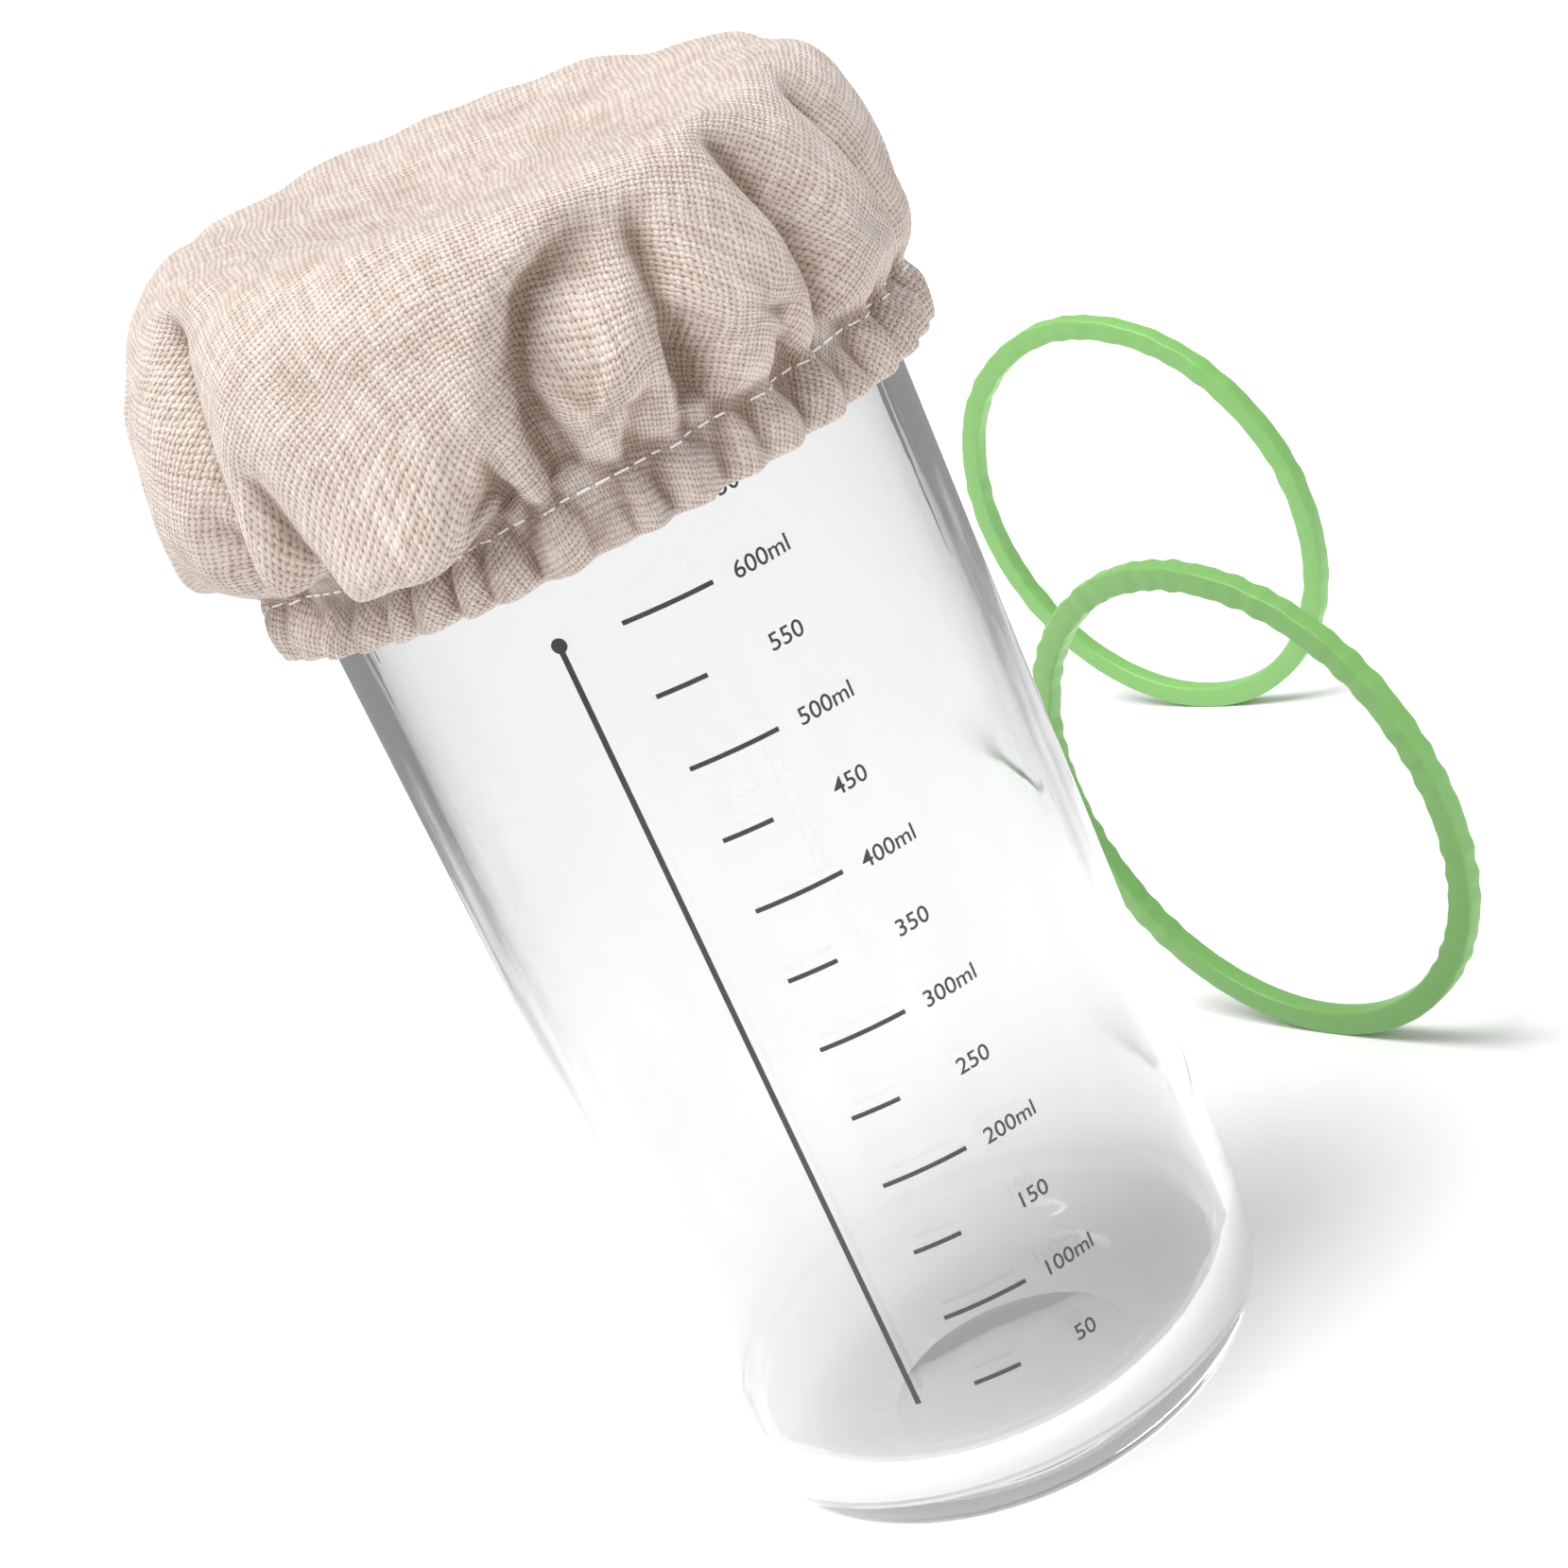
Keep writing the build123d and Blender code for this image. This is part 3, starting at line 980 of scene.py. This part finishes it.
# Silicone bands
band_depth = 4.2 * MM
band_width = 3.3 * MM
band_edge = 0.45 * MM          # rounding of the section's corners
band_turns = {"lower_band": -57.0, "upper_band": -53.0}   # degrees that their faces are turned
band_steps = 240
band_shrink = 0.25 * MM        # how far a band lies inside its solid, away from its foot
band_wobble = 1.6              # unevenness of that, as a share
band_bow = 0.5 * MM            # how far it bows out of its plane
wave_counts = (3, 5, 8, 13, 21)        # waves of both, round the band
nick_counts = (27, 38, 47, 61)         # small waves of the edges, round the band
nick_sizes = (0.04, 0.09)      # mm
nick_reach = 2.0 * MM          # distance from the section's middle where nicks have their full size


def band_section():
    """Rounded rectangle: outward and sideways places."""
    section = []
    for corner, (side_out, side_wide) in enumerate(((1, 1), (-1, 1), (-1, -1), (1, -1))):
        for step in range(4):
            turn = math.radians(90 * corner + 30 * step)
            out = side_out * (band_depth / 2 - band_edge) + band_edge * math.cos(turn)
            wide = side_wide * (band_width / 2 - band_edge) + band_edge * math.sin(turn)
            section.append((out, wide))
    return section


def wave_sum(waves, angle, way=1):
    """Sum of waves round a band, each with its count, size and phase. A way of -1 turns their
    phases round."""
    return sum(size * math.sin(count * angle + way * phase) for count, size, phase in waves)


def add_band(node, seed, material):
    """A band that isn't quite round or flat, with soft corners, where its CAD solid stands. All its
    waves fade out towards the floor."""
    low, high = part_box(node)
    centre = (low + high) / 2
    radius = (high.z - low.z) / 2 - band_depth / 2
    turn = math.radians(band_turns[node])
    face = Vector((math.sin(turn), -math.cos(turn), 0))
    side = face.cross(Vector((0, 0, 1)))
    chance = random.Random(seed)
    waves = [
        (count, chance.uniform(-1, 1), 2 * math.pi * chance.random()) for count in wave_counts
    ]
    nicks = [
        (count, chance.uniform(*nick_sizes) * MM, 2 * math.pi * chance.random())
        for count in nick_counts
    ]
    section = band_section()
    points, faces = [], []
    for step in range(band_steps):
        angle = 2 * math.pi * step / band_steps
        out_dir = side * math.sin(angle) - Vector((0, 0, 1)) * math.cos(angle)
        free = smooth((1 - math.cos(angle)) * 2)
        wobble = sum(size * math.sin(count * angle + phase) / count for count, size, phase in waves)
        bow = sum(size * math.cos(count * angle + phase) / count for count, size, phase in waves)
        nick = 1 + free * wave_sum(nicks, angle) / nick_reach
        other_nick = 1 + free * wave_sum(nicks, angle, -1) / nick_reach
        middle = radius - band_shrink * free * (1 + wobble * band_wobble)
        aside = band_bow * bow * free
        for out, wide in section:
            place = centre + out_dir * (middle + out * nick)
            points.append(place + face * (wide * other_nick + aside))
    around_section = len(section)
    for step in range(band_steps):
        here, there = step * around_section, (step + 1) % band_steps * around_section
        for index in range(around_section):
            after = (index + 1) % around_section
            faces.append((here + index, there + index, there + after, here + after))
    band = add_mesh(node + "_silicone", points, faces)
    band.data.materials.append(material)
    # The jar's wall would show their bent picture, which the photograph doesn't have.
    band.visible_glossy = band.visible_transmission = False
    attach(band, node)
    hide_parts(node)


def add_camera():
    """Camera as worked out from the photo, rolled so that the jar leans to the left."""
    data = bpy.data.cameras.new("camera")
    data.sensor_width = 36.0
    data.lens = 80.16
    camera = bpy.data.objects.new("camera", data)
    right = Vector((0.9098, -0.1549, -0.3851))
    ahead = Vector((0.0099, 0.9357, -0.3527))
    up = right.cross(ahead)
    place = Vector((0.0, -449.3 * MM, 272.8 * MM))
    turned = Matrix((right, up, -ahead)).transposed().to_4x4()
    camera.matrix_world = Matrix.Translation(place) @ turned
    scene.collection.objects.link(camera)
    scene.camera = camera


def add_key(place, spread, strength):
    """Broad distant light from above, soft as a large screen, shining from a place to the jar."""
    data = bpy.data.lights.new("key_light", "SUN")
    data.angle = math.radians(spread)
    data.energy = strength
    lamp = bpy.data.objects.new("key_light", data)
    lamp.rotation_euler = (-Vector(place)).to_track_quat("-Z", "Y").to_euler()
    scene.collection.objects.link(lamp)


# The glowing grey card, whose glow paints grey reflections on the glass. Heights are above the
# floor.
flag_foot, flag_top = 50.0 * MM, 190.0 * MM
flag_gap = 2.0 * MM            # from the jar's lip out to the card
# The card's grey is glow, a painted reflection in the glass.
flag_glow_grey = 0.30
flag_tear = 0.07               # unevenness of its edge, as a share of the slant
slant_heights = (165.0 * MM, 60.0 * MM)
slants = (0.44, 0.80)          # least slant at which it shows at those heights, 1 is edge-on
mirror_heights = (50.0 * MM, 130.0 * MM)   # over which it sets in, in reflections


def flag_material():
    """Grey glow, a painted reflection for the glass, that shows where it is looked at along the
    card, or in a reflection.
    """
    material, nodes, shader = new_material("glowing_flag")
    place = nodes.place()
    height = nodes.height(place)
    grain = nodes.noise(nodes.stretch(place, (1.0, 1.0, 0.25)), 160.0, 4.0)
    torn = nodes.span(grain, 0.3, 0.7, -flag_tear, flag_tear)
    slant = nodes.math("ADD", nodes.add("ShaderNodeLayerWeight").outputs["Facing"], torn)
    seen_along = nodes.math("GREATER_THAN", slant, nodes.span(height, *slant_heights, *slants))
    torn_height = nodes.math("ADD", height, nodes.math("MULTIPLY", torn, 0.2))
    reflected = nodes.add("ShaderNodeLightPath").outputs["Is Reflection Ray"]
    seen_back = nodes.math("MULTIPLY", reflected, nodes.span(torn_height, *mirror_heights))
    # Painted reflection: the card glows its grey, though it is no lamp.
    nodes.fill(
        shader,
        Base_Color=(0, 0, 0, 1),
        Emission_Color=(flag_glow_grey, flag_glow_grey, flag_glow_grey, 1),
        Emission_Strength=1.0,
        Alpha=nodes.math("MAXIMUM", seen_along, seen_back),
    )
    return material


def add_flag():
    """Glowing grey card rolled round the jar, hidden from the camera, from diffuse light and from
    shadows, so that it is seen in the glass. Its glow is a painted reflection: grey edges on the
    walls that thin out downwards."""
    steps = 96
    points = [
        around(360 * step / steps, jar_radius + flag_gap, height)
        for height in (flag_foot, flag_top)
        for step in range(steps)
    ]
    faces = []
    for step in range(steps):
        after = (step + 1) % steps
        faces.append((step, after, steps + after, steps + step))
    glowing_flag = add_mesh("glowing_flag", points, faces)
    glowing_flag.data.materials.append(flag_material())
    glowing_flag.visible_camera = glowing_flag.visible_diffuse = glowing_flag.visible_shadow = False


def add_studio():
    """Pale floor, even white surroundings, one broad light and the glowing grey card."""
    side = 12.0
    corners = [(-side, -side, 0), (side, -side, 0), (side, side, 0), (-side, side, 0)]
    floor = add_mesh("studio_floor", corners, [(0, 1, 2, 3)])
    material, nodes, shader = new_material("studio_floor")
    nodes.fill(shader, Base_Color=(0.96, 0.96, 0.96, 1), Roughness=0.9)
    floor.data.materials.append(material)
    world = bpy.data.worlds.new("studio")
    world.use_nodes = True
    sky = Nodes(world.node_tree)
    sky.fill(world.node_tree.nodes["Background"], Color=(1, 1, 1, 1), Strength=0.45)
    scene.world = world
    add_key(place=(-0.24, -0.12, 0.95), spread=38.0, strength=4.0)
    add_flag()


add_camera()
add_studio()
cover_cloth, seam_points = add_cover()
hem_stitches = add_stitches(seam_points)
add_scale()
silicone = silicone_material()
add_band("lower_band", 11, silicone)
add_band("upper_band", 12, silicone)
hem_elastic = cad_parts["hem_elastic"]
solids = (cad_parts["glass_jar"], glass_material()), (hem_elastic, elastic_material())
for solid, material in solids:
    solid.data.materials.clear()
    solid.data.materials.append(material)
